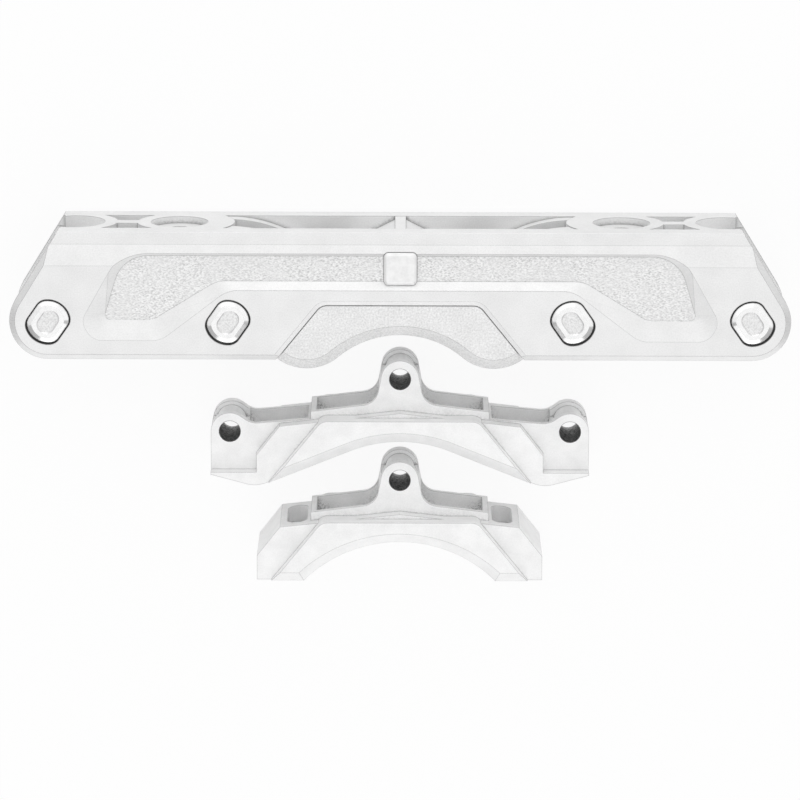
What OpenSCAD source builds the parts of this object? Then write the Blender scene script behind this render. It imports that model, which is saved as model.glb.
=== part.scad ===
// Inline skate frame for grinding, laid on its side with its two spare grind blocks.
// X runs along the frame, Y points from the wheels to the boot, Z points up from the table.

/* [Frame] */
// Distance between the first and last axles
outer_axle_span = 264; // [258:0.5:270]
// Distance between the two inner axles
inner_axle_span = 129.2; // [126:0.2:132]
// Length of the deck under the boot
deck_len = 256.4; // [250:0.2:262]
// Height of the deck above the axle line
deck_h = 34; // [33:0.1:37]
// Depth of the walls below the axle line, and radius of the rounded ends
wall_drop = 14.6; // [13.5:0.1:16]
// Width over the two rails beside the deck
rail_w = 41; // [39:0.5:43]
// Width over the two wall faces
wall_w = 46; // [44.5:0.5:48]
// Width of the slot between the walls and between the axle bosses
core_w = 25; // [24.5:0.1:26]
// Width of the wheel bays
bay_w = 28; // [27:0.1:29]
// Radius kept clear for each wheel
wheel_r = 30; // [28:0.1:30.5]
// Height of the upright band of each rail
rail_h = 4.7; // [3:0.1:6]
// Height over which a rail flares out to the wall face
flare_h = 7.8; // [6:0.1:10]
// Bevel along the ends and the lower edge of each wall
edge_bevel = 2.2; // [1:0.1:3]
// Radius of the boss round each axle
boss_r = 8.5; // [7:0.1:10]

/* [Deck] */
// Distance between the two boot bolts
boot_span = 167; // [165:0.5:169]
// Diameter of the round recess at each boot bolt
recess_d = 21.5; // [18:0.1:24]
// Depth of the recess
recess_deep = 2.6; // [1.5:0.1:3]
// Diameter of the boot bolt hole
boot_hole_d = 8.4; // [6:0.1:9]
// Outer radius of the ring round each recess
ring_r = 16; // [14:0.1:18]
// Reach of the flat plate from the boot bolt towards the middle
plate_r = 21; // [20:0.1:23]
// Thickness of the deck plates
plate_t = 5; // [4:0.1:6]
// Radius of the open notch at each end of the deck
notch_r = 11.6; // [11:0.1:12.2]
// Width of the collar round the notch
collar_w = 5; // [3:0.1:6]
// Width of the neck between the collar and the ring
neck_w = 6; // [4:0.1:9]
// Radius of the arched web over each inner wheel
arch_r = 50; // [46:0.5:60]
// Thickness of the arched web and of the centre braces
web_t = 3.5; // [2.5:0.1:4]
// Reach of the arched web past the inner axle
arch_reach = 27; // [22:0.5:32]
// Width of the window in the arched web
window_w = 13; // [8:0.5:18]
// Width of the bar across the middle of the deck
bar_w = 4.2; // [3:0.1:6]
// Slope of the braces beside the bar
brace_angle = 27; // [20:1:32]
// Step from the bar down to the braces
brace_drop = 1.2; // [0.8:0.1:1.6]
// Reach of each brace from the middle
brace_reach = 20; // [16:0.5:26]

/* [Side pockets] */
// Depth of the milled pocket in each wall
pocket_deep = 2.8; // [1.5:0.1:3.2]
// Height of the rail above the pocket
pocket_rail = 7; // [6.4:0.1:7.2]
// Height of the pocket's lower edge above the axle line, in the middle
pocket_mid = 12.3; // [11:0.1:12.8]
// Rise of the ramp in the middle of the pocket
ramp_mid = 3.1; // [2:0.1:3.2]
// Depth of the pocket's lobes below the axle line
lobe_drop = 7; // [5:0.1:8]
// Rise of the ramp in the lobes
ramp_lobe = 7.6; // [5:0.1:9]

/* [Axles] */
// Diameter of an axle barrel
axle_d = 8; // [7.6:0.1:8.4]
// Radial running clearance round barrels and shanks
run_fit = 0.05; // [0.02:0.01:0.1]
// Diameter of an axle head over its round sides
head_d = 16.2; // [15.6:0.1:16.6]
// Width of an axle head over its flats
head_flats = 13.7; // [13.3:0.1:14]
// Radius of the corners beside the flats
head_corner = 4.4; // [4:0.1:4.8]
// Tilt of the flats
head_tilt = 55; // [30:1:60]
// Depth of the seat for an axle head
seat_deep = 3.2; // [2.5:0.1:4]
// Width of the seat ring round an axle head
seat_ring = 0.25; // [0.2:0.05:0.4]
// Width of the bevel round the top of an axle head
head_bevel = 1.8; // [1.4:0.1:2]
// Diameter of a screw shank
screw_d = 5; // [4:0.1:5.5]
// Diameter of a screw head
screw_head_d = 12.4; // [11:0.1:14]
// Height of a screw head
screw_head_h = 2.4; // [2:0.1:3]
// Width of the hexagon socket over its flats
hex_w = 5; // [4:0.5:6]

/* [Grind blocks] */
// Height of the block bolt above the axle line
lug_h = 20.4; // [20:0.1:21]
// Width of the lug, the box and the ears of a block
box_w = 24.4; // [23:0.1:24.4]
// Width of a block's flanks
flank_w = 34; // [32:0.5:36]
// Depth of a block's face behind the wall face
shoe_inset = 0.5; // [0.2:0.1:1]
// Gap round a block in the frame
block_gap = 0.2; // [0.2:0.05:0.5]
// Top of the cut-out for a block above the axle line
cut_top = 6.6; // [5:0.1:7]
// Half the width of the cut-out at its top
cut_half = 29.7; // [27:0.1:32]
// Spread of the cut-out's sides for each millimetre down
cut_spread = 0.807; // [0.7:0.005:0.85]
// Radius of the cut-out's top corners
cut_round = 5; // [3:0.5:7]
// Bevel round the cut-out
cut_bevel = 1.7; // [1:0.1:2]
// Bevel along the lower edges of a block's faces
shoe_bevel = 4.2; // [3:0.1:4.6]
// Outer radius of the lugs and ears
lug_r = 7.2; // [6.6:0.1:7.6]
// Half the length of the box under the lug
box_half = 33.9; // [31:0.1:36]
// Drop from the bolt to the ridge of the box
box_ridge = 8.4; // [7.8:0.1:9]
// Slope of the box from its ridge
box_slope = 7; // [5:0.5:8]
// Wall of the box round its open pockets
box_wall = 2.2; // [1.6:0.1:3]
// Depth of the box pockets below the bolt
box_floor = 18.5; // [16:0.1:19]
// Radius of the fillet from the lug to the box
lug_fillet = 6.5; // [5:0.1:7.5]
// Drop from the bolt to the ridge of the flanks
roof_ridge = 12.1; // [11.6:0.1:12.6]
// Slope of the flanks' roof
roof_slope = 6.4; // [5:0.1:7]
// Half the length of the flanks
flank_half = 54.4; // [53:0.1:56]
// Height of the upright end of a flank above the wall's lower edge
flank_end = 6.5; // [5:0.1:8]
// Distance from the flank's end to the top of its slope
flank_run = 8.8; // [7:0.1:10]

/* [Fitted block] */
// Drop from the axle line to the top of the groove
groove_top = 5.6; // [4:0.1:6]
// Distance of each rounded foot from the middle
foot_x = 35.2; // [34:0.1:36]
// Radius of each rounded foot
foot_r = 18.3; // [18:0.1:19]
// Depth of the feet below the walls
foot_drop = 3.9; // [3:0.1:4.5]

/* [Anti-rocker block] */
// Drop from the bolt to the top of the long arch
long_arch_top = 22.8; // [22:0.1:24]
// Radius in the middle of the long arch
long_arch_r = 50; // [40:1:60]
// Slope of the long arch beside its middle
long_arch_slope = 22; // [20:0.5:23]
// Depth of the toes below the walls
toe_drop = 5.2; // [4:0.1:6]
// Slope of the toes up to the ends
toe_slope = 15; // [12:0.5:18]
// Radius of the fillet from each ear to the tail
ear_fillet = 8; // [5:0.5:10]
// Place of its bolt hole below the frame's axle line
long_block_y = 24.3; // [22:0.1:28]

/* [Freestyle block] */
// Drop from the bolt to the top of the round arch
round_arch_top = 22.6; // [22:0.1:24]
// Radius of the round arch
round_arch_r = 51; // [48:0.5:60]
// Depth of the flat feet below the walls
flat_drop = 2.9; // [2:0.1:4]
// Width of the slot milled in each flank
slot_w = 7.6; // [6:0.1:8]
// Length of the slot across the block
slot_len = 25; // [16:0.5:28]
// Depth of the slots below the bolt
slot_floor = 23; // [22:0.5:32]
// Place of its bolt hole below the frame's axle line
round_block_y = 63.8; // [62:0.1:70]

/* [Block bolt] */
// Width of the square head
square_w = 12.2; // [11:0.1:12.4]
// Radius of its corners
square_round = 1.6; // [1.2:0.1:2]
// Height of the square head
square_h = 2.2; // [1.5:0.1:2.6]
// Gap round the square head in its seat
square_gap = 0.15; // [0.1:0.05:0.2]

/* [Hidden] */
$fn = 96;

silver = [0.86, 0.86, 0.87];
bright = [0.93, 0.93, 0.94];
steel = [0.62, 0.63, 0.65];
black = [0.05, 0.05, 0.05];

over = 1;            // how far a cut runs past a face
weld = 0.5;          // how far a web runs into a wall
lap = 0.3;           // how far a bevel starts before the edge it cuts
arc_steps = 8;       // straight steps in a rounded corner
bay_rise = 14;       // height of the wheel bays above the axle line
notch_in = 16.5;     // reach of the deck's end notch
notch_open = 4.4;    // how far the collar runs on past the middle of the notch
ramp_top = 2;        // width of the ramp along the top of a side pocket
window_end = 6;      // solid end of each arched web
same = 0.001;        // lengths this close count as equal
seat_gap = 0.04;     // gap on each side of a seat ring
seat_swell = 0.25;   // how much wider a seat ring is round the ends of the head
ring_sunk = 0.3;     // how far a seat ring lies below the wall face
screw_gap = 0.3;     // gap round a screw head
screw_sunk = 0.4;    // how far a screw head lies below the wall face
barrel_short = 0.6;  // how far a barrel ends before its screw head
bore_len = 26;       // depth of the threaded bore, from the screw head
shank_len = 22;      // length of a screw shank
head_edge = 0.5;     // bevel of a screw head
hex_deep = 1.5;      // depth of the hexagon socket
bevel_fall = 0.7;    // height of the bevel round the top of an axle head
dish_d = 9.4;        // length of the dish in an axle head
dish_flats = 6.9;    // width of the dish over its flats
dish_corner = 3.2;   // radius of its corners
dish_deep = 0.6;     // depth of the dish
dish_side = 0.4;     // width of the dish's sloping side
cut_fall = 0.6;      // depth of the bevel round a cut-out
end_arc = 16;        // straight steps round each end of an axle head
square_edge = 0.9;   // width of the bevel round the square head
square_fall = 0.5;   // height of that bevel
nut_sunk = 0.2;      // how far the seats of the block bolt lie below the pocket floor
lug_flare = 10.8;    // lean of the lug's sides
ear_t = 4.6;         // thickness of each ear of the lug
spool_r = 5.6;       // radius of the lug between its ears
spool_y = 1.2;       // level where the groove between the ears ends
box_in = 8.2;        // start of the box pockets from the middle
ear_lean = 125;      // direction from an ear's hole in which its fillet starts
fitted_half = 47;    // half the length of the fitted block's flanks
toe_tip = 0.65;      // height lost by rounding the toes
toe_round = 12;      // radius of the toes
arch_steps = 44;     // straight steps in the long arch
foot_steps = 30;     // straight steps in each foot and in each half of the groove
foot_start = -30;    // direction from the middle of a foot in which its round side starts
end_steps = 48;      // straight steps round each end of the frame
web_sunk = 0.3;      // how far an arched web lies below the deck plate
bar_sunk = 0.1;      // how far the centre bar lies below the rails
tail_step = 2.8;     // step down from the box to the tail beside it
tail_slope = 5;      // slope of the tail towards the ears
tail_wall = 1.1;     // wall between the box and the tail's pocket
tail_floor = 26;     // depth of the tail's pocket below the bolt
slot_step = 1.5;     // distance from the box to the slot of the freestyle block

// Places of the pocket's rim and bed, from the outer and inner axles
rim_end = 12.4;
rim_corner = 16.5;
rim_top = 27.5;
rim_in = 25.2;
bed_end = 21.2;
bed_corner = 22.4;
bed_in = 28;

outer_x = outer_axle_span / 2;
inner_x = inner_axle_span / 2;
axle_x = [-outer_x, -inner_x, inner_x, outer_x];
boot_x = boot_span / 2;
half_w = wall_w / 2;
shoe_w = wall_w - 2 * shoe_inset;
overall_len = outer_axle_span + 2 * wall_drop;
wall_edge = lug_h + wall_drop;      // from the bolt down to the walls' lower edge
pocket_floor = half_w - pocket_deep;
pocket_top = deck_h - pocket_rail;
nut_z = pocket_floor - nut_sunk;

// Layout on the table: the middle of everything lies at the origin
layout_foot = -round_block_y - wall_edge - flat_drop;
axle_y = -(deck_h + layout_foot) / 2;

// Carries a side-view outline across the given width, centred
module across(w) translate([0, 0, -w / 2]) linear_extrude(w) children();

// Carries a cross-section drawn as (height, width) along the frame, centred
module along(l) translate([-l / 2, 0, 0]) rotate([90, 0, 90]) linear_extrude(l) children();

// Carries a plan view from one height to another
module upright(y0, y1) translate([0, y0, 0]) rotate([-90, 0, 0]) linear_extrude(y1 - y0) children();

module both_sides() for (s = [0, 1]) mirror([0, 0, s]) children();
module both_ends() for (s = [0, 1]) mirror([s, 0, 0]) children();

module on_frame() translate([0, axle_y, half_w]) children();

// Corners given as [x, y, radius] become a rounded outline, listed counter-clockwise
function unit(v) = v / norm(v);
function corner_arc(p, q, r, radius) =
    let (a = unit(p - q), b = unit(r - q), half = acos(a * b) / 2,
         centre = q + unit(a + b) * radius / sin(half),
         from = q + a * radius / tan(half) - centre,
         to = q + b * radius / tan(half) - centre,
         start = atan2(from[1], from[0]),
         turn = atan2(from[0] * to[1] - from[1] * to[0], from * to))
    [for (i = [0:arc_steps]) centre + radius * [cos(start + turn * i / arc_steps),
                                               sin(start + turn * i / arc_steps)]];
function flat(c) = [c[0], c[1]];
function rounded(corners) =
    let (n = len(corners))
    [for (i = [0:n - 1])
        each corner_arc(flat(corners[(i + n - 1) % n]), flat(corners[i]),
                        flat(corners[(i + 1) % n]), corners[i][2])];
function mirrored(corners) =
    let (n = len(corners))
    concat(corners, [for (i = [n - 1:-1:0]) [-corners[i][0], corners[i][1], corners[i][2]]]);
// Closed solid through a stack of like outlines, each given as [outline, height] from the bottom up.
// The flat ends are split into parts, each of which can be seen whole from its first corner,
// and each side face is split along its shorter diagonal.
function whole(n) = [[for (i = [0:n - 1]) i]];
function fan(part) = [for (i = [1:len(part) - 2]) [part[0], part[i], part[i + 1]]];
module loft(rings, parts) {
    n = len(rings[0][0]);
    last = len(rings) - 1;
    corners = [for (ring = rings, p = ring[0]) [p[0], p[1], ring[1]]];
    base = [for (part = parts) each fan(part)];
    lid = [for (t = base) last * n * [1, 1, 1] + [t[0], t[2], t[1]]];
    sides = [for (k = [0:last - 1], i = [0:n - 1])
        let (a = k * n + i, b = k * n + (i + 1) % n)
        each norm(corners[a] - corners[b + n]) < norm(corners[b] - corners[a + n]) + same
            ? [[a, a + n, b + n], [a, b + n, b]] : [[a, a + n, b], [b, a + n, b + n]]];
    polyhedron(points = corners, faces = concat(base, sides, lid));
}
module tapered(lower, upper, z0, z1, parts) loft([[lower, z0], [upper, z1], [upper, z1 + over]], parts);

// Bevel along an edge that runs along the frame: the edge lies on the origin, the body below and above it
module edge_cut(l, c) along(l) polygon([[-over, -c - over], [c + over, over], [-over, over]]);

// Outline of the frame from the side, set in by the given amount: the ends slope from the deck
// and run round the outer axles
deck_corner = [deck_len / 2 - outer_x, deck_h];
slope_dir = atan2(deck_corner[1], deck_corner[0]) - acos(wall_drop / norm(deck_corner));
function side_outline(inset) =
    let (end = [for (i = [0:end_steps]) let (t = -90 + (90 + slope_dir) * i / end_steps)
                   [outer_x, 0] + (wall_drop - inset) * [cos(t), sin(t)]],
         top_x = deck_len / 2 - inset / cos(slope_dir) - over * tan(slope_dir),
         right = concat(end, [[top_x, deck_h + over]]))
    concat(right, [for (i = [len(right) - 1:-1:0]) [-right[i][0], right[i][1]]]);
module bevelled_side() {
    full = side_outline(0);
    face = side_outline(edge_bevel);
    loft([[face, -half_w - over], [face, -half_w], [full, edge_bevel - half_w], [full, half_w - edge_bevel],
          [face, half_w], [face, half_w + over]], whole(len(full)));
}

// Cross-section of the frame: upright rails that flare out to the wall faces
module cross_section() {
    flare_top = deck_h - rail_h;
    side = [[-wall_drop - over, half_w], [flare_top - flare_h, half_w], [flare_top, rail_w / 2],
            [deck_h, rail_w / 2]];
    polygon(concat(side, [for (i = [3:-1:0]) [side[i][0], -side[i][1]]]));
}

// Milled pocket of one wall face: a long arch whose lobes drop between the wheels
module side_pocket() {
    lobe_floor = ramp_lobe - lobe_drop;
    rim = mirrored([[-outer_x + rim_top, pocket_top, 16], [-outer_x + rim_end, 0.2, 6],
                    [-outer_x + rim_corner, -lobe_drop, 6.5], [-inner_x - rim_in, -lobe_drop, 10],
                    [-inner_x, pocket_mid, 12]]);
    bed = mirrored([[-outer_x + rim_top + 0.5, pocket_top - ramp_top, 13], [-outer_x + bed_end, lobe_floor + 1.6, 1.5],
                    [-outer_x + bed_corner, lobe_floor, 1.5], [-inner_x - bed_in, lobe_floor, 8],
                    [-inner_x - 4, pocket_mid + ramp_mid, 10]]);
    m = len(rim) / 2 * (arc_steps + 1);
    left = [for (i = [0:m - 1]) i];
    right = concat([2 * m - 1], [for (i = [m:2 * m - 2]) i]);
    tapered(rounded(bed), rounded(rim), pocket_floor, half_w, [left, [0, m - 1, m, 2 * m - 1], right]);
}

// Cut-out for a block in the walls, grown outward by the given amount and run down to a level
function cut_outline(grow, low) =
    let (k = cut_spread, top = cut_top + grow, half = cut_half + grow * (sqrt(1 + k * k) - k),
         foot = half + (top - low) * k, r = cut_round + grow)
    concat([[foot, low]], corner_arc([foot, low], [half, top], [-half, top], r),
           corner_arc([half, top], [-half, top], [-foot, low], r), [[-foot, low]]);

// Roof and upright ends of a block's flanks, drawn from the bolt
function flank_outline(gap, half, low) =
    let (shoulder = half - flank_run, drop = roof_ridge + shoulder * tan(roof_slope),
         end = flank_end - wall_edge + gap)
    [[half + gap, low], [half + gap, end], [shoulder, gap - drop], [0, gap - roof_ridge],
     [-shoulder, gap - drop], [-half - gap, end], [-half - gap, low]];

// Space for the wheels between the walls, leaving a round boss at each axle
module wheel_bays() across(bay_w) difference() {
    union() {
        for (x = axle_x) translate([x, 0]) circle(wheel_r);
        both_ends() translate([inner_x, -wall_drop - over])
            square([outer_x + wall_drop + over - inner_x, wall_drop + over + bay_rise]);
    }
    for (x = axle_x) translate([x, 0]) circle(boss_r);
}

// Plan of the deck plate at one end: notched collar, neck, ring and plate with a round edge
notch_x = deck_len / 2 - notch_in + notch_r;
module deck_plan() intersection() {
    difference() {
        union() {
            translate([boot_x, 0]) circle(ring_r);
            intersection() {
                translate([boot_x, 0]) circle(plate_r);
                translate([boot_x - plate_r, -core_w]) square([plate_r, 2 * core_w]);
            }
            translate([boot_x, -neck_w / 2]) square([notch_x - boot_x, neck_w]);
            translate([notch_x, 0]) circle(notch_r + collar_w);
        }
        translate([notch_x, 0]) circle(notch_r);
        translate([notch_x + notch_open, -core_w]) square(2 * core_w);
    }
    square([overall_len, core_w + 2 * weld], center = true);
}

// Webs that join the two walls under the boot
module deck_webs() difference() {
    union() {
        both_ends() upright(deck_h - plate_t, deck_h) deck_plan();
        both_ends() difference() {
            across(core_w + 2 * weld) intersection() {
                translate([inner_x, deck_h - web_sunk - arch_r]) difference() {
                    circle(arch_r);
                    circle(arch_r - web_t);
                }
                translate([inner_x - arch_reach, 0]) square([arch_reach + over, deck_h]);
            }
            upright(0, deck_h + over) translate([inner_x - arch_reach + window_end, -window_w / 2])
                square([arch_reach, window_w]);
        }
        across(core_w + 2 * weld) brace_section();
    }
    both_ends() upright(deck_h - recess_deep, deck_h + over) translate([boot_x, 0]) circle(d = recess_d);
    both_ends() upright(0, deck_h + over) translate([boot_x, 0]) circle(d = boot_hole_d);
}

// Centre bar with a brace sloping down on each side
module brace_section() {
    fall = (brace_reach - bar_w / 2) * tan(brace_angle);
    thick = web_t / cos(brace_angle);
    top = deck_h - bar_sunk;
    low = top - brace_drop;
    translate([-bar_w / 2, low - thick]) square([bar_w, brace_drop + thick]);
    for (s = [-1, 1])
        polygon([[0, low], [s * bar_w / 2, low], [s * brace_reach, low - fall],
                 [s * brace_reach, low - fall - thick], [s * bar_w / 2, low - thick], [0, low - thick]]);
}

// Oval outline of an axle head, its seat or its dish from above: two round ends, and two flats with
// round corners; the flats of the front and rear axles lean to opposite sides
function turned(p, a) = [p[0] * cos(a) - p[1] * sin(a), p[0] * sin(a) + p[1] * cos(a)];
function oval(d, flats, corner, x) =
    let (tilt = x < 0 ? head_tilt : -head_tilt,
         mid_y = flats / 2 - corner,
         mid = [sqrt(pow(d / 2 - corner, 2) - mid_y * mid_y), mid_y],
         bend = atan2(mid[1], mid[0]),
         end = [for (i = [0:end_arc]) let (t = bend * (2 * i / end_arc - 1)) d / 2 * [cos(t), sin(t)]],
         round = [for (i = [1:arc_steps]) let (t = bend + (90 - bend) * i / arc_steps)
                     mid + corner * [cos(t), sin(t)]],
         right = concat([for (i = [arc_steps - 1:-1:0]) [round[i][0], -round[i][1]]], end, round))
    [for (p = concat(right, -right)) turned(p, tilt)];
function head_outline(grow, x) = oval(head_d + 2 * grow, head_flats + 2 * grow, head_corner + grow, x);
function seat_outline(grow, x) = oval(head_d + 2 * grow + 2 * seat_swell, head_flats + 2 * grow,
                                      head_corner + grow, x);
function dish_outline(grow, x) = oval(dish_d + 2 * grow, dish_flats + 2 * grow, dish_corner + grow, x);

cut_low = -wall_drop - over;
seat_z = half_w - seat_deep;
screw_z = half_w - screw_head_h - screw_sunk;
seat_grow = seat_ring + 2 * seat_gap;

module frame_body() color(silver) on_frame() difference() {
    union() {
        difference() {
            intersection() {
                bevelled_side();
                along(overall_len + 2 * over) cross_section();
            }
            both_sides() side_pocket();
            across(core_w) translate([0, (deck_h - wall_drop) / 2])
                square([overall_len + 2 * over, deck_h + wall_drop + 2 * over], center = true);
            across(flank_w + 2 * block_gap) translate([0, lug_h])
                polygon(flank_outline(block_gap, flank_half, -wall_edge - over));
            across(wall_w + 2 * over) polygon(cut_outline(0, cut_low));
            both_sides() tapered(cut_outline(0, cut_low), cut_outline(cut_bevel, cut_low),
                                 half_w - cut_fall, half_w, whole(2 * arc_steps + 4));
        }
        deck_webs();
    }
    wheel_bays();
    for (x = axle_x) translate([x, 0, 0]) {
        across(wall_w + 2 * over) circle(d = axle_d + 2 * run_fit);
        translate([0, 0, seat_z]) linear_extrude(seat_deep + over) polygon(seat_outline(seat_grow, x));
        translate([0, 0, -half_w - over])
            cylinder(h = half_w + over - screw_z, d = screw_head_d + 2 * screw_gap);
    }
    translate([0, lug_h, 0]) {
        across(wall_w + 2 * over) circle(d = axle_d + 2 * run_fit);
        translate([0, 0, nut_z]) linear_extrude(half_w + over - nut_z)
            polygon(square_outline(square_gap));
        translate([0, 0, -half_w - over])
            cylinder(h = half_w + over - nut_z, d = screw_head_d + 2 * screw_gap);
    }
}

// One axle: an oval head with a shallow dish, a barrel and a threaded bore from the far end
module axle(x) on_frame() translate([x, 0, 0]) difference() {
    edge = head_outline(0, x);
    face = head_outline(-head_bevel, x);
    parts = whole(len(edge));
    union() {
        loft([[edge, seat_z], [edge, half_w - bevel_fall], [face, half_w]], parts);
        translate([0, 0, barrel_short - screw_z])
            cylinder(h = screw_z - barrel_short + seat_z + weld, d = axle_d);
    }
    tapered(dish_outline(-dish_side, x), dish_outline(0, x), half_w - dish_deep, half_w, parts);
    translate([0, 0, -screw_z]) cylinder(h = bore_len, d = screw_d + 2 * run_fit);
}
module axle_toe() color(bright) axle(axle_x[0]);
module axle_front() color(bright) axle(axle_x[1]);
module axle_rear() color(bright) axle(axle_x[2]);
module axle_heel() color(bright) axle(axle_x[3]);

// A screw that stands on its head: the shank points up from the origin
module cap_screw() {
    cylinder(h = shank_len, d = screw_d);
    difference() {
        union() {
            translate([0, 0, head_edge - screw_head_h])
                cylinder(h = screw_head_h - head_edge, d = screw_head_d);
            translate([0, 0, -screw_head_h])
                cylinder(h = head_edge, d1 = screw_head_d - 2 * head_edge, d2 = screw_head_d);
        }
        translate([0, 0, -screw_head_h - over]) linear_extrude(hex_deep + over)
            circle(d = hex_w / cos(30), $fn = 6);
    }
}
module axle_screw(x) on_frame() translate([x, 0, -screw_z]) cap_screw();
module axle_screw_toe() color(steel) axle_screw(axle_x[0]);
module axle_screw_front() color(steel) axle_screw(axle_x[1]);
module axle_screw_rear() color(steel) axle_screw(axle_x[2]);
module axle_screw_heel() color(steel) axle_screw(axle_x[3]);

// Ring between an axle head and its seat
module seat_ring_at(x) on_frame() translate([x, 0, seat_z]) linear_extrude(seat_deep - ring_sunk)
    difference() {
        polygon(seat_outline(seat_grow - seat_gap, x));
        polygon(head_outline(seat_gap, x));
    }
module seat_ring_toe() color(black) seat_ring_at(axle_x[0]);
module seat_ring_front() color(black) seat_ring_at(axle_x[1]);
module seat_ring_rear() color(black) seat_ring_at(axle_x[2]);
module seat_ring_heel() color(black) seat_ring_at(axle_x[3]);

// Square-headed sleeve nut that holds the fitted block, and the screw in its far end
function square_outline(grow) =
    rounded([for (c = [[-1, -1], [1, -1], [1, 1], [-1, 1]])
                [c[0] * (square_w / 2 + grow), c[1] * (square_w / 2 + grow), square_round + grow]]);
module block_sleeve_nut() color(bright) on_frame() translate([0, lug_h, 0]) difference() {
    edge = square_outline(0);
    top = nut_z + square_h;
    union() {
        loft([[edge, nut_z], [edge, top - square_fall], [square_outline(-square_edge), top]],
             whole(len(edge)));
        translate([0, 0, barrel_short - nut_z]) cylinder(h = 2 * nut_z - barrel_short + weld, d = axle_d);
    }
    translate([0, 0, -nut_z]) cylinder(h = bore_len, d = screw_d + 2 * run_fit);
}
module block_screw() color(steel) on_frame() translate([0, lug_h, -nut_z]) cap_screw();

// Blocks are drawn from their bolt
module bevelled_bore(r, w, c) {
    cylinder(h = w + 2 * over, r = r, center = true);
    both_sides() translate([0, 0, w / 2 - c - lap])
        cylinder(h = c + lap + over, r1 = r - lap, r2 = r + c + over);
}

// Round lug whose sides flare down into the box through a fillet
lug_line = lug_r - 0.02;
function lug_side(y) = lug_line / cos(lug_flare) - y * tan(lug_flare);
module lug_section() {
    start = lug_line * [cos(lug_flare), sin(lug_flare)];
    box_end = -box_ridge - box_half * tan(box_slope);
    meet_x = (lug_side(0) + box_ridge * tan(lug_flare)) / (1 - tan(box_slope) * tan(lug_flare));
    meet = [meet_x, -box_ridge - meet_x * tan(box_slope)];
    bend = corner_arc([box_half, box_end], meet, start, lug_fillet);
    low = -box_floor - box_wall;
    circle(lug_r);
    polygon(concat([[-box_half, low], [box_half, low], [box_half, box_end]], bend,
                   [start, [-start[0], start[1]]],
                   [for (i = [arc_steps:-1:0]) [-bend[i][0], bend[i][1]]], [[-box_half, box_end]]));
}
module box_cuts() {
    across(wall_w + 2 * over) circle(d = axle_d + 2 * run_fit);
    across(box_w - 2 * ear_t) difference() {
        translate([-2 * lug_r, spool_y]) square([4 * lug_r, 2 * lug_r]);
        circle(spool_r);
    }
    both_ends() across(box_w - 2 * box_wall) translate([box_in, -box_floor])
        square([box_half - box_wall - box_in, box_floor]);
}
module shoe_blank(low) across(shoe_w) translate([0, -lug_h]) polygon(cut_outline(-block_gap, low + lug_h));

// Fitted block: two rounded feet with a round groove between them, all one smooth line
foot_y = foot_r - wall_edge - foot_drop;
groove_h = foot_y + lug_h + groove_top;
groove_r = (foot_x * foot_x + groove_h * groove_h - foot_r * foot_r) / (2 * (foot_r - groove_h));
groove_y = -lug_h - groove_top - groove_r;
groove_turn = atan2(foot_y - groove_y, foot_x);
function groove_outline(grow) =
    let (far = 2 * (foot_x + foot_r),
         sweep = groove_turn - 180 - foot_start,
         foot = [for (i = [0:foot_steps]) let (t = foot_start + sweep * i / foot_steps)
                    [foot_x, foot_y] + (foot_r - grow) * [cos(t), sin(t)]],
         half = [for (i = [1:foot_steps]) let (t = groove_turn + (90 - groove_turn) * i / foot_steps)
                    [0, groove_y] + (groove_r + grow) * [cos(t), sin(t)]],
         right = concat([[far, foot_y]], foot, half))
    concat([[0, groove_y - 3 * groove_r]], right,
           [for (i = [len(right) - 2:-1:0]) [-right[i][0], right[i][1]]]);
module grind_block() color(bright) on_frame() translate([0, lug_h, 0]) difference() {
    union() {
        across(box_w) lug_section();
        across(flank_w) polygon(flank_outline(0, fitted_half, block_gap - wall_edge));
        shoe_blank(-wall_edge - foot_drop - over);
    }
    across(wall_w) polygon(groove_outline(0));
    both_sides() tapered(groove_outline(0), groove_outline(shoe_bevel), shoe_w / 2 - shoe_bevel,
                         shoe_w / 2, whole(len(groove_outline(0))));
    across(bay_w) for (x = [-inner_x, inner_x]) translate([x, -lug_h]) circle(wheel_r);
    box_cuts();
}

// Anti-rocker block: a long shallow arch, with ears that take the place of the inner wheels
function arch_arc(grow) =
    [for (i = [0:arch_steps]) let (t = long_arch_slope * (1 - 2 * i / arch_steps))
        (long_arch_r + grow) * [sin(t), cos(t)] - [0, long_arch_top + long_arch_r]];
arch_foot = arch_arc(0)[0];
toe_y = -wall_edge - toe_drop - toe_tip;
toe = [arch_foot[0] + (arch_foot[1] - toe_y) / tan(long_arch_slope), toe_y];
end_x = inner_x + lug_r;
toe_end = [end_x + over, toe[1] + (end_x + over - toe[0]) * tan(toe_slope)];
ledge = -wall_edge - block_gap;
deep = 2 * toe_y;
tip = corner_arc(toe_end, toe, arch_foot, toe_round);
function reflect(p) = [-p[0], p[1]];
module under_toe() polygon(concat([[-toe_end[0], deep], [toe_end[0], deep], toe_end], tip, arch_arc(0),
    [for (i = [arc_steps:-1:0]) reflect(tip[i])], [reflect(toe_end)]));
function arch_outline(grow) =
    let (side = tip[arc_steps] + grow * [sin(long_arch_slope), cos(long_arch_slope)])
    concat([[-end_x, deep], [end_x, deep], [end_x, toe_y], side], arch_arc(grow), [reflect(side), [-end_x, toe_y]]);
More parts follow.
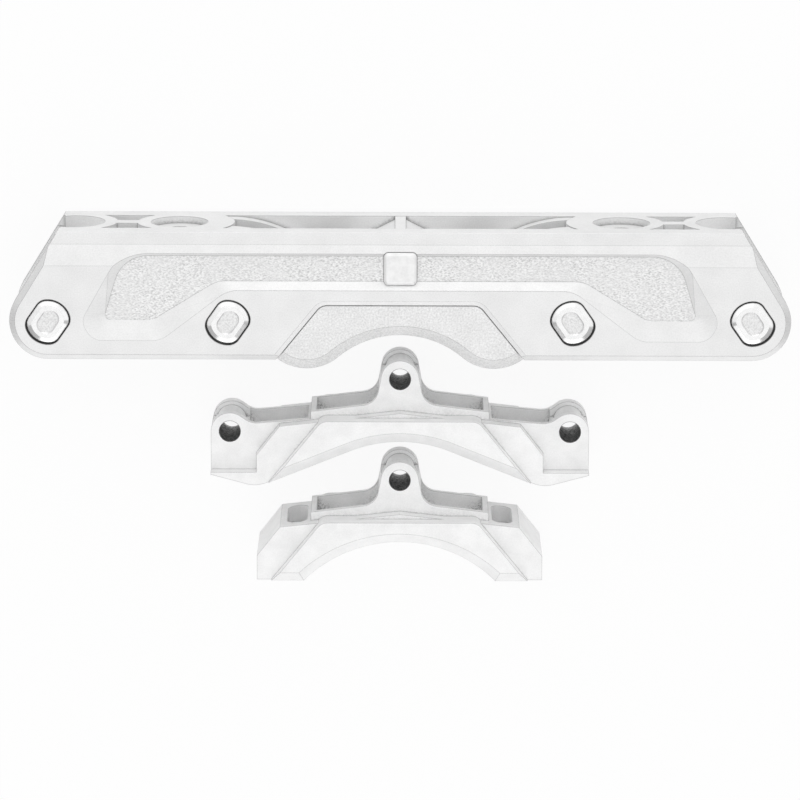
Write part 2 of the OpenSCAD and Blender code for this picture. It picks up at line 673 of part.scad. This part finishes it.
module anti_rocker_block() color(bright) translate([0, axle_y - long_block_y, shoe_w / 2]) difference() {
    union() {
        across(box_w) lug_section();
        across(flank_w) polygon(flank_outline(0, flank_half, toe_y - over));
        across(flank_w) translate([-end_x, toe_y - over]) square([2 * end_x, ledge - toe_y + over]);
        shoe_blank(toe_y - over);
        both_ends() across(box_w) {
            tail_top = -box_ridge - box_half * tan(box_slope) - tail_step;
            start = [inner_x, -lug_h] + lug_line * [cos(ear_lean), sin(ear_lean)];
            lean = -1 / tan(ear_lean);
            meet_x = (tail_top + box_half * tan(tail_slope) - start[1] + start[0] * lean)
                     / (lean + tan(tail_slope));
            meet = [meet_x, start[1] + (meet_x - start[0]) * lean];
            tail = [box_half - box_wall, tail_top + box_wall * tan(tail_slope)];
            polygon(concat([tail, [tail[0], ledge - over], [inner_x, ledge - over], [inner_x, -lug_h], start],
                           corner_arc(start, meet, tail, ear_fillet)));
            translate([inner_x, -lug_h]) circle(lug_r);
            translate([inner_x - lug_r, ledge - over]) square([2 * lug_r, -lug_h - ledge + over]);
        }
    }
    across(wall_w) under_toe();
    both_sides() tapered(arch_outline(0), arch_outline(shoe_bevel), shoe_w / 2 - shoe_bevel,
                         shoe_w / 2, whole(len(arch_outline(0))));
    box_cuts();
    both_ends() across(box_w - 2 * box_wall) translate([box_half + tail_wall, -tail_floor])
        square([inner_x - lug_r - box_half - tail_wall, tail_floor]);
    both_ends() translate([inner_x, -lug_h, 0]) {
        across(wall_w) circle(d = axle_d + 2 * run_fit);
        across(box_w - 2 * ear_t) difference() {
            translate([-lug_r - over, spool_y]) square([2 * lug_r + 2 * over, 2 * lug_r]);
            circle(spool_r);
        }
    }
}

// Freestyle block: flat feet on each side of a round arch
flat_foot = -wall_edge - flat_drop;
module freestyle_block() color(bright) translate([0, axle_y - round_block_y, shoe_w / 2]) difference() {
    union() {
        across(box_w) lug_section();
        across(flank_w) polygon(flank_outline(0, flank_half, flat_foot));
        shoe_blank(flat_foot);
    }
    translate([0, -round_arch_top - round_arch_r, 0]) bevelled_bore(round_arch_r, shoe_w, shoe_bevel);
    both_sides() translate([0, flat_foot, shoe_w / 2]) edge_cut(2 * flank_half, shoe_bevel - 0.05);
    box_cuts();
    both_ends() upright(-slot_floor, 0) translate([box_half + slot_step + slot_w / 2, 0]) {
        square([slot_w, slot_len - slot_w], center = true);
        for (s = [-1, 1]) translate([0, s * (slot_len - slot_w) / 2]) circle(d = slot_w);
    }
}

frame_body();
axle_toe();
axle_front();
axle_rear();
axle_heel();
axle_screw_toe();
axle_screw_front();
axle_screw_rear();
axle_screw_heel();
seat_ring_toe();
seat_ring_front();
seat_ring_rear();
seat_ring_heel();
block_sleeve_nut();
block_screw();
grind_block();
anti_rocker_block();
freestyle_block();
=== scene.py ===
import math
import bpy
import numpy as np
from mathutils import Matrix, Vector

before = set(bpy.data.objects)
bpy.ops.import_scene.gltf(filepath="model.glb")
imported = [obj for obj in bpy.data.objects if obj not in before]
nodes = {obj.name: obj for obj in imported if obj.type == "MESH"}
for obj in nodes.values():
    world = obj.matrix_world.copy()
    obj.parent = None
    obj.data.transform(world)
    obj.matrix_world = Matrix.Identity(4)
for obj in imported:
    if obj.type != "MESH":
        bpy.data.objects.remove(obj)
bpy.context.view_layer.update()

scene = bpy.context.scene
mm = 0.001
print("frame loaded:", len(nodes), "solids")


def linear(hexColour):  # sRGB hex to the linear colour that the shaders take
    s = np.array([int(hexColour[i:i + 2], 16) for i in (1, 3, 5)]) / 255.0
    lin = np.where(s <= 0.04045, s / 12.92, ((s + 0.055) / 1.055) ** 2.4)
    return (*[float(v) for v in lin], 1.0)


def addNode(tree, kind, settings=None, links=None):  # one node, its settings, and what feeds it
    node = tree.nodes.new("ShaderNode" + kind)
    for name, value in (settings or {}).items():
        if isinstance(name, int) or name in node.inputs:
            node.inputs[name].default_value = value
        else:
            setattr(node, name, value)
    for name, source in (links or {}).items():
        socket = source if isinstance(source, bpy.types.NodeSocket) else source.outputs[0]
        tree.links.new(socket, node.inputs[name])
    return node


def freshMaterial(name):
    material = bpy.data.materials.new(name)
    material.use_nodes = True
    material.node_tree.nodes.clear()
    return material, material.node_tree


def dress(material, names):  # the solids take the material in their first slot
    for name in names:
        mesh = nodes[name].data
        mesh.materials.clear()
        mesh.materials.append(material)


# Camera: the set lies flat and is seen from above, a little from the boot side
camera = {
    "over": (0.0, 33.85, 23.0),   # mm, middle of the axle line
    "away": 1540.0,               # mm from there
    "lean": 12.2,                 # degrees off the plumb line
    "down": 1.27,                 # degrees below that point, so the whole set is in the middle
    "roll": 0.17,
    "lens": 182.34,
}
back = Vector((0, math.sin(math.radians(camera["lean"])), math.cos(math.radians(camera["lean"]))))
cam = bpy.data.objects.new("camera", bpy.data.cameras.new("camera"))
scene.collection.objects.link(cam)
cam.data.sensor_width = 36
cam.data.lens = camera["lens"]
cam.location = (Vector(camera["over"]) + camera["away"] * back) * mm
tilt = Matrix.Rotation(-math.radians(camera["lean"] + camera["down"]), 3, "X")
cam.rotation_euler = (tilt @ Matrix.Rotation(math.radians(camera["roll"]), 3, "Z")).to_euler()
scene.camera = cam
print("camera set")


# Stage: one pale sheet under the set
floor = {"half": 4.0, "drop": 0.05 * mm, "colour": "#F2F2F2", "glow": 0.9}
u, v = np.meshgrid((-1, 1), (-1, 1))  # the sheet is (u, v) times half its width, just under z 0
corners = np.stack([u.ravel() * floor["half"], v.ravel() * floor["half"], np.full(4, -floor["drop"])], 1)
floorMesh = bpy.data.meshes.new("floor")
floorMesh.from_pydata(corners.tolist(), [], [(0, 1, 3, 2)])
floorSheet = bpy.data.objects.new("floor", floorMesh)
scene.collection.objects.link(floorSheet)

# white card: what the camera and the metal see of it glows, and a part of it still takes the shadow
card, tree = freshMaterial("white_card_matt")
path = addNode(tree, "LightPath").outputs
seen = addNode(tree, "Math", {"operation": "MAXIMUM"}, {0: path["Is Camera Ray"], 1: path["Is Glossy Ray"]})
seen = addNode(tree, "Math", {"operation": "MAXIMUM"}, {0: seen, 1: path["Is Transmission Ray"]})
share = addNode(tree, "Math", {"operation": "MULTIPLY", 1: floor["glow"]}, {0: seen})
paper = addNode(tree, "BsdfDiffuse", {"Color": linear(floor["colour"])})
glow = addNode(tree, "Emission", {"Color": (1, 1, 1, 1), "Strength": 1.0})
both = addNode(tree, "MixShader", {}, {0: share, 1: paper, 2: glow})
addNode(tree, "OutputMaterial", {}, {"Surface": both})
floorMesh.materials.append(card)

# Light: a white tent, dimmer at the left, with a dark stand at each side of the photographer, one wide soft
# box behind the boot side, a wide one over the near side, and a low strip in front and one behind, which fill
# the edges that face them
light = {
    "zenith": 1.03, "horizon": 0.9, "rise": 0.75,      # brightness, and the height at which it is full
    "leftSpan": (-0.3, -0.85), "leftShade": 0.85,
    "stand": (0.52, -0.57, 0.64), "standSpan": (0.92, 0.975), "standShade": 0.5,    # the left one mirrors it
    "lamps": {
        # where it stands, how wide and tall it is (m), and its watts
        "soft_box": ((-0.5, 0.9, 1.4), (1.5, 1.5), 1.0),
        "near_box": ((0.0, -1.0, 1.1), (1.4, 0.7), 2.0),
        "near_strip": ((0.0, -1.3, 0.16), (1.4, 0.2), 0.8),
        "far_strip": ((0.0, 1.3, 0.3), (1.4, 0.3), 2.5),
    },
}
world = bpy.data.worlds.new("studio")
scene.world = world
world.use_nodes = True
tree = world.node_tree
tree.nodes.clear()
way = addNode(tree, "SeparateXYZ", {}, {0: addNode(tree, "TexCoord").outputs["Generated"]}).outputs
level = addNode(tree, "MapRange", {"From Max": light["rise"], "To Min": light["horizon"],
                "To Max": light["zenith"], "interpolation_type": "SMOOTHSTEP"}, {"Value": way["Z"]})
side = addNode(tree, "Math", {"operation": "ABSOLUTE"}, {0: way["X"]})
folded = addNode(tree, "CombineXYZ", {}, {"X": side, "Y": way["Y"], "Z": way["Z"]})
near = addNode(tree, "VectorMath", {"operation": "DOT_PRODUCT", 1: light["stand"]}, {0: folded})
for value, span, shade in ((near.outputs["Value"], light["standSpan"], light["standShade"]),
                           (way["X"], light["leftSpan"], light["leftShade"])):
    dimmed = addNode(tree, "MapRange", {"From Min": span[0], "From Max": span[1], "To Min": 1.0,
                     "To Max": shade, "interpolation_type": "SMOOTHSTEP"}, {"Value": value})
    level = addNode(tree, "Math", {"operation": "MULTIPLY"}, {0: level, 1: dimmed})
sky = addNode(tree, "Background", {"Color": (1, 1, 1, 1)}, {"Strength": level})
addNode(tree, "OutputWorld", {}, {"Surface": sky})
for name, (at, size, watts) in light["lamps"].items():
    lamp = bpy.data.objects.new(name, bpy.data.lights.new(name, "AREA"))
    scene.collection.objects.link(lamp)
    lamp.data.shape = "RECTANGLE"
    lamp.data.size, lamp.data.size_y = size
    lamp.data.energy = watts
    lamp.location = at
    lamp.rotation_euler = (-lamp.location).to_track_quat("-Z", "Y").to_euler()
scene.view_settings.view_transform = "Standard"
print("stage and light set")


scars = {"grain": 0.9, "rough": 0.8}      # what the cutter leaves in deep hollows, grain in mm


def startMetal(name, look):
    # common to the bare metals: a mottled face with a fine grain of specks, which bump and roughness follow;
    # the grain is drawn coarser than real grit, which would be too fine to show
    material, tree = freshMaterial(name)
    place = addNode(tree, "TexCoord").outputs["Object"]
    rounded = addNode(tree, "Bevel", {"samples": 8, "Radius": look["round"] * mm})
    grain = addNode(tree, "TexNoise", {"Scale": 1 / (look["grain"] * mm), "Detail": 3.0, "Roughness": 0.6},
                    {"Vector": place})
    cloud = addNode(tree, "TexNoise", {"Scale": 1 / (look["cloud"] * mm), "Detail": 3.0}, {"Vector": place})
    mottle = addNode(tree, "MapRange", {"From Min": 0.35, "From Max": 0.7}, {"Value": cloud})
    speck = addNode(tree, "MapRange", {"From Min": 0.3, "From Max": 0.7, "To Max": look["speck"]},
                    {"Value": grain})
    tone = addNode(tree, "MixRGB", {1: linear(look["face"]), 2: linear(look["dim"])}, {0: mottle})
    tone = addNode(tree, "MixRGB", {2: linear(look["edge"])}, {0: speck, 1: tone})
    relief = addNode(tree, "Bump", {"Strength": look["relief"], "Distance": 0.1 * mm},
                     {"Height": grain, "Normal": rounded})
    rough = addNode(tree, "MapRange", {"To Min": look["rough"] - 0.06, "To Max": look["rough"] + 0.08},
                    {"Value": grain})
    # the look's edge colour, used for the specks and for the painted line along edges
    edge = addNode(tree, "RGB")
    edge.outputs[0].default_value = linear(look["edge"])
    return {"material": material, "tree": tree, "place": place, "rounded": rounded,
            "tone": tone, "edge": edge, "rough": rough, "relief": relief}


def finishMetal(metal, look, *names):
    # deep hollows keep the rough scars of the cutter, darkened with painted shade; corners get painted shade,
    # and edges a thin painted line in the look's edge colour
    tree, place, tone = metal["tree"], metal["place"], metal["tone"]
    wide, tight = [addNode(tree, "AmbientOcclusion",
                           {"samples": 8, "only_local": True, "Distance": reach * mm}).outputs["AO"]
                   for reach in (look["deep"], look["reach"])]
    deep = addNode(tree, "MapRange", {"From Min": 0.3, "From Max": 0.55, "To Min": 1.0, "To Max": 0.0},
                   {"Value": wide})
    if "unshadedSlots" in look:  # slots with |x| over the first and y under the second get no scars and no painted shade
        spot = addNode(tree, "SeparateXYZ", {}, {0: place}).outputs
        far = addNode(tree, "Math", {"operation": "ABSOLUTE"}, {0: spot["X"]})
        far = addNode(tree, "Math", {"operation": "LESS_THAN", 1: look["unshadedSlots"][0] * mm}, {0: far})
        high = addNode(tree, "Math", {"operation": "GREATER_THAN", 1: look["unshadedSlots"][1] * mm}, {0: spot["Y"]})
        kept = addNode(tree, "Math", {"operation": "MAXIMUM"}, {0: far, 1: high})
        deep = addNode(tree, "Math", {"operation": "MULTIPLY"}, {0: deep, 1: kept})
    scarAndShade = addNode(tree, "TexNoise", {"Scale": 1 / (scars["grain"] * mm), "Detail": 4.0, "Roughness": 0.7},
                   {"Vector": place})
    scarAndShade = addNode(tree, "MapRange", {"From Min": 0.44, "From Max": 0.62, "To Max": 0.95}, {"Value": scarAndShade})
    scarAndShade = addNode(tree, "Math", {"operation": "MULTIPLY"}, {0: scarAndShade, 1: deep})
    cornerShade = addNode(tree, "MapRange", {"From Min": 0.2, "From Max": 0.9, "To Min": look["hollowShare"],
                     "To Max": 0.0}, {"Value": tight})
    along = addNode(tree, "VectorMath", {"operation": "DOT_PRODUCT"},
                    {0: metal["rounded"], 1: addNode(tree, "NewGeometry").outputs["Normal"]})
    edge = addNode(tree, "MapRange", {"From Min": 0.9998, "From Max": 0.99, "To Max": look["edgeShare"]},
                   {"Value": along.outputs["Value"]})
    # painted shade: scars in deep hollows and the corners are mixed toward the hollow colour
    for mask in (scarAndShade, cornerShade):
        tone = addNode(tree, "MixRGB", {2: linear(look["hollow"])}, {0: mask, 1: tone})
    tone = addNode(tree, "MixRGB", {}, {0: edge, 1: tone, 2: metal["edge"]})
    rough = addNode(tree, "Math", {"operation": "MULTIPLY_ADD", 1: scars["rough"] - look["rough"]},
                    {0: deep, 2: metal["rough"]})
    skin = addNode(tree, "BsdfPrincipled", {"Metallic": look["metal"]},
                   {"Base Color": tone, "Roughness": rough, "Normal": metal["relief"]})
    addNode(tree, "OutputMaterial", {}, {"Surface": skin})
    dress(metal["material"], names)


# Frame: aluminium, milled from the solid, blasted and clear anodised, so it is pale and satin with crisp
# edges, and the oxide scatters a part of the light; the pocket floors keep the torn grain of the cutter
frameLook = {
    "face": "#F2F2F2", "dim": "#ECECEC", "edge": "#868686", "hollow": "#747474",
    "rough": 0.58, "metal": 0.7, "relief": 0.12,
    "grain": 0.5, "cloud": 12.0, "round": 0.3, "reach": 2.0, "deep": 10.0,     # mm
    "edgeShare": 0.55, "hollowShare": 0.6, "speck": 0.12,
    "floors": (43.2, 2.8), "slack": 0.1,          # mm, height of the pocket floors of the two walls
    "high": "#F6F6F6", "torn": "#B0B0B0",         # ridges and tears of those floors
    "tornBase": 0.25,                             # share of the tears that is there all over
    "tear": (0.5, 0.95), "tearTurn": -32.0,       # mm across and along the torn grain, degrees
    "patch": 9.0,                                 # mm, where the grain is stronger or weaker
    "rim": (67.0, 42.0), "rimHighlight": "#FFFFFF",    # mm, the rail's edge past this y and z gets a painted highlight
    "endFrom": 119.0, "endShadeTone": "#9A9A9A", "endShare": 0.9,     # mm, past this the faces along x get painted shade
}
metal = startMetal("aluminium_milled_blasted_anodised", frameLook)
tree, place = metal["tree"], metal["place"]
where = addNode(tree, "SeparateXYZ", {}, {0: place}).outputs
onFloor = [addNode(tree, "Math", {"operation": "COMPARE", 1: z * mm, 2: frameLook["slack"] * mm},
                   {0: where["Z"]}) for z in frameLook["floors"]]
pocket = addNode(tree, "Math", {"operation": "MAXIMUM"}, {0: onFloor[0], 1: onFloor[1]})
acrossTear, alongTear = frameLook["tear"]
streak = addNode(tree, "Mapping", {"Rotation": (0, 0, math.radians(frameLook["tearTurn"])),
                 "Scale": (1 / (alongTear * mm), 1 / (acrossTear * mm), 1 / mm)}, {"Vector": place})
tear = addNode(tree, "TexNoise", {"Scale": 1.0, "Detail": 4.0, "Roughness": 0.7}, {"Vector": streak})
patch = addNode(tree, "TexNoise", {"Scale": 1 / (frameLook["patch"] * mm), "Detail": 2.0}, {"Vector": place})
patch = addNode(tree, "MapRange", {"From Min": 0.35, "From Max": 0.65, "To Min": 0.6, "To Max": 1.25},
                {"Value": patch})
torn = addNode(tree, "MapRange", {"From Min": 0.5, "From Max": 0.64, "To Max": 0.4, "clamp": False},
               {"Value": tear})
torn = addNode(tree, "Math", {"operation": "MULTIPLY"}, {0: torn, 1: patch})
torn = addNode(tree, "Math", {"operation": "ADD", "use_clamp": True, 1: frameLook["tornBase"]}, {0: torn})
torn = addNode(tree, "MixRGB", {1: linear(frameLook["high"]), 2: linear(frameLook["torn"])}, {0: torn})
tone = addNode(tree, "MixRGB", {}, {0: pocket, 1: metal["tone"], 2: torn})
cut = addNode(tree, "Math", {"operation": "MULTIPLY"}, {0: tear, 1: pocket})
metal["relief"] = addNode(tree, "Bump", {"Strength": 0.5, "Distance": 0.15 * mm},
                          {"Height": cut, "Normal": metal["relief"]})
# painted shade on the faces that face along x past endFrom, broken up by the tear grain
facing = addNode(tree, "SeparateXYZ", {}, {0: addNode(tree, "TexCoord").outputs["Normal"]}).outputs
across = addNode(tree, "Math", {"operation": "ABSOLUTE"}, {0: facing["X"]})
across = addNode(tree, "MapRange", {"From Min": 0.5, "From Max": 0.75, "To Max": frameLook["endShare"]},
                 {"Value": across})
outer = addNode(tree, "Math", {"operation": "ABSOLUTE"}, {0: where["X"]})
outer = addNode(tree, "Math", {"operation": "GREATER_THAN", 1: frameLook["endFrom"] * mm}, {0: outer})
endShadeMask = addNode(tree, "Math", {"operation": "MULTIPLY"}, {0: across, 1: outer})
endShadeMask = addNode(tree, "Math", {"operation": "MULTIPLY"}, {0: endShadeMask, 1: tear})
metal["tone"] = addNode(tree, "MixRGB", {2: linear(frameLook["endShadeTone"])}, {0: endShadeMask, 1: tone})
# painted highlight: the edge colour turns white along the rail's edge past these y and z
behind, above = [addNode(tree, "Math", {"operation": "GREATER_THAN", 1: limit * mm}, {0: where[axis]})
                 for axis, limit in zip("YZ", frameLook["rim"])]
rim = addNode(tree, "Math", {"operation": "MULTIPLY"}, {0: behind, 1: above})
metal["edge"] = addNode(tree, "MixRGB", {2: linear(frameLook["rimHighlight"])}, {0: rim, 1: metal["edge"]})
finishMetal(metal, frameLook, "frame_body")

# Fitted block: aluminium, milled and blasted with a coarse grit, so its face is even and grainy
fittedLook = {
    "face": "#FAFAFA", "dim": "#F4F4F4", "edge": "#8C8C8C", "hollow": "#808080",
    "rough": 0.65, "metal": 0.6, "relief": 0.3,
    "grain": 0.7, "cloud": 9.0, "round": 0.35, "reach": 1.0, "deep": 7.0,      # mm
    "edgeShare": 0.5, "hollowShare": 0.15, "speck": 0.34,
}
finishMetal(startMetal("aluminium_milled_grit_blasted", fittedLook), fittedLook, "grind_block")

# Spare blocks: aluminium, milled and tumbled, with a white haze of oxide that scatters most of the light, a
# shade paler and smoother than the frame, with faint smears, and scarred by the cutter inside their boxes,
# where painted shade darkens them too; the bolt bores, cut with a drill, get painted shade, darkest at the
# mouth
spareLook = {
    "face": "#F8F8F8", "dim": "#F0F0F0", "edge": "#868686", "hollow": "#6C6C6C",
    "rough": 0.6, "metal": 0.35, "relief": 0.12,
    "grain": 0.55, "cloud": 7.0, "round": 0.35, "reach": 1.0, "deep": 11.0,    # mm
    "edgeShare": 0.42, "hollowShare": 0.15, "speck": 0.08,
    "unshadedSlots": (33.0, -17.0),                                                # mm, see finishMetal
    "bores": ((0, 9.55), (-64.6, -10.85), (64.6, -10.85), (0, -29.95)),    # mm, axes of the bores
    "boreRadius": 4.15, "mouth": 34.7, "boreFade": 14.0,                   # mm
    "boreMouthShade": "#080808", "boreTone": "#E0E0E0",
    "score": 0.8, "fadeShare": 0.9,                # mm, grain of the drill marks, and how far the fade goes
}
metal = startMetal("aluminium_milled_tumbled", spareLook)
tree, place = metal["tree"], metal["place"]
flat = addNode(tree, "VectorMath", {"operation": "MULTIPLY", 1: (1, 1, 0)}, {0: place})
bored = None
for x, y in spareLook["bores"]:
    off = addNode(tree, "VectorMath", {"operation": "DISTANCE", 1: (x * mm, y * mm, 0)}, {0: flat})
    within = addNode(tree, "Math", {"operation": "LESS_THAN", 1: spareLook["boreRadius"] * mm},
                     {0: off.outputs["Value"]})
    bored = addNode(tree, "Math", {"operation": "MAXIMUM"}, {0: bored, 1: within}) if bored else within
height = addNode(tree, "SeparateXYZ", {}, {0: place}).outputs["Z"]
depth = addNode(tree, "MapRange", {"From Min": spareLook["mouth"] * mm,
                "From Max": (spareLook["mouth"] - spareLook["boreFade"]) * mm}, {"Value": height})
score = addNode(tree, "TexNoise", {"Scale": 1 / (spareLook["score"] * mm), "Detail": 4.0, "Roughness": 0.7},
                {"Vector": place})
score = addNode(tree, "MapRange", {"From Min": 0.4, "From Max": 0.62, "To Min": -0.2, "To Max": 0.35},
                {"Value": score})
score = addNode(tree, "Math", {"operation": "MULTIPLY_ADD", "use_clamp": True, 1: spareLook["fadeShare"]},
                {0: depth, 2: score})
# painted shade in the bores, darkest at the mouth and paler deeper in, broken up by drill marks
paintedBoreShade = addNode(tree, "MixRGB", {1: linear(spareLook["boreMouthShade"]), 2: linear(spareLook["boreTone"])},
                  {0: score})
metal["tone"] = addNode(tree, "MixRGB", {}, {0: bored, 1: metal["tone"], 2: paintedBoreShade})
finishMetal(metal, spareLook, "anti_rocker_block", "freestyle_block")

# Axles: aluminium, turned and polished, bright on the rim and bevels, and grey in the dish, which is blasted;
# that grey is partly its grain and partly a painted dark reflection
axleLook = {
    "face": "#FAFAFA", "dim": "#F2F2F2", "edge": "#B8B8B8", "hollow": "#A0A0A0",
    "rough": 0.15, "metal": 1.0, "relief": 0.1,
    "grain": 0.6, "cloud": 4.0, "round": 0.15, "reach": 0.6, "deep": 0.6,      # mm
    "edgeShare": 0.3, "hollowShare": 0.2, "speck": 0.14,
    "dish": 45.4, "slack": 0.05, "sand": 0.7,     # mm, height of the dish and grain of its blasted floor
    "dishFace": "#F2F2F2", "dishGrainAndReflection": "#D4D4D4", "dishRough": 0.4,
}
metal = startMetal("aluminium_turned_polished", axleLook)
tree, place = metal["tree"], metal["place"]
height = addNode(tree, "SeparateXYZ", {}, {0: place}).outputs["Z"]
dish = addNode(tree, "Math", {"operation": "COMPARE", 1: axleLook["dish"] * mm, 2: axleLook["slack"] * mm},
               {0: height})
# the dish's grey: blasted grain, and a painted dark reflection
sand = addNode(tree, "TexNoise", {"Scale": 1 / (axleLook["sand"] * mm), "Detail": 3.0, "Roughness": 0.7},
               {"Vector": place})
sand = addNode(tree, "MapRange", {"From Min": 0.35, "From Max": 0.65}, {"Value": sand})
sand = addNode(tree, "MixRGB", {1: linear(axleLook["dishFace"]), 2: linear(axleLook["dishGrainAndReflection"])}, {0: sand})
metal["tone"] = addNode(tree, "MixRGB", {}, {0: dish, 1: metal["tone"], 2: sand})
metal["rough"] = addNode(tree, "MapRange", {"To Min": axleLook["rough"], "To Max": axleLook["dishRough"]},
                         {"Value": dish})
finishMetal(metal, axleLook, "axle_toe", "axle_front", "axle_rear", "axle_heel")

# Block bolt: aluminium, forged and blasted, grey on its face, with a painted highlight along the edges of the
# bevel round it
boltLook = {
    "face": "#F0F0F0", "dim": "#E2E2E2", "edge": "#FAFAFA", "hollow": "#B0B0B0",
    "rough": 0.35, "metal": 0.8, "relief": 0.2,
    "grain": 0.9, "cloud": 3.0, "round": 0.3, "reach": 1.0, "deep": 1.0,       # mm
    "edgeShare": 0.7, "hollowShare": 0.3, "speck": 0.3,
}
finishMetal(startMetal("aluminium_forged_blasted", boltLook), boltLook, "block_sleeve_nut")

# Screws: stainless steel, turned, a little darker and greyer than the aluminium
screwLook = {
    "face": "#B4B3B0", "dim": "#AAA9A6", "edge": "#8C8B89", "hollow": "#6E6D6B",
    "rough": 0.3, "metal": 1.0, "relief": 0.08,
    "grain": 0.5, "cloud": 3.0, "round": 0.2, "reach": 2.0, "deep": 3.0,       # mm
    "edgeShare": 0.6, "hollowShare": 0.5, "speck": 0.1,
}
screws = [name for name in nodes if "screw" in name]
finishMetal(startMetal("stainless_steel_turned", screwLook), screwLook, *screws)

# Seat rings: a matt black ring round each head, a dark piece that stands in for the shade of the gap there
ringLook = {"face": "#060606", "dim": "#0C0C0C", "rough": 0.6, "ior": 1.53, "grain": 0.4}     # grain in mm
material, tree = freshMaterial("black_ring_gap_shade")
place = addNode(tree, "TexCoord").outputs["Object"]
grain = addNode(tree, "TexNoise", {"Scale": 1 / (ringLook["grain"] * mm), "Detail": 2.0}, {"Vector": place})
relief = addNode(tree, "Bump", {"Strength": 0.1, "Distance": 0.05 * mm}, {"Height": grain})
tone = addNode(tree, "MixRGB", {1: linear(ringLook["face"]), 2: linear(ringLook["dim"])}, {0: grain})
skin = addNode(tree, "BsdfPrincipled", {"Roughness": ringLook["rough"], "IOR": ringLook["ior"]},
               {"Base Color": tone, "Normal": relief})
addNode(tree, "OutputMaterial", {}, {"Surface": skin})
dress(material, [name for name in nodes if name.startswith("seat_ring")])
print("materials on")
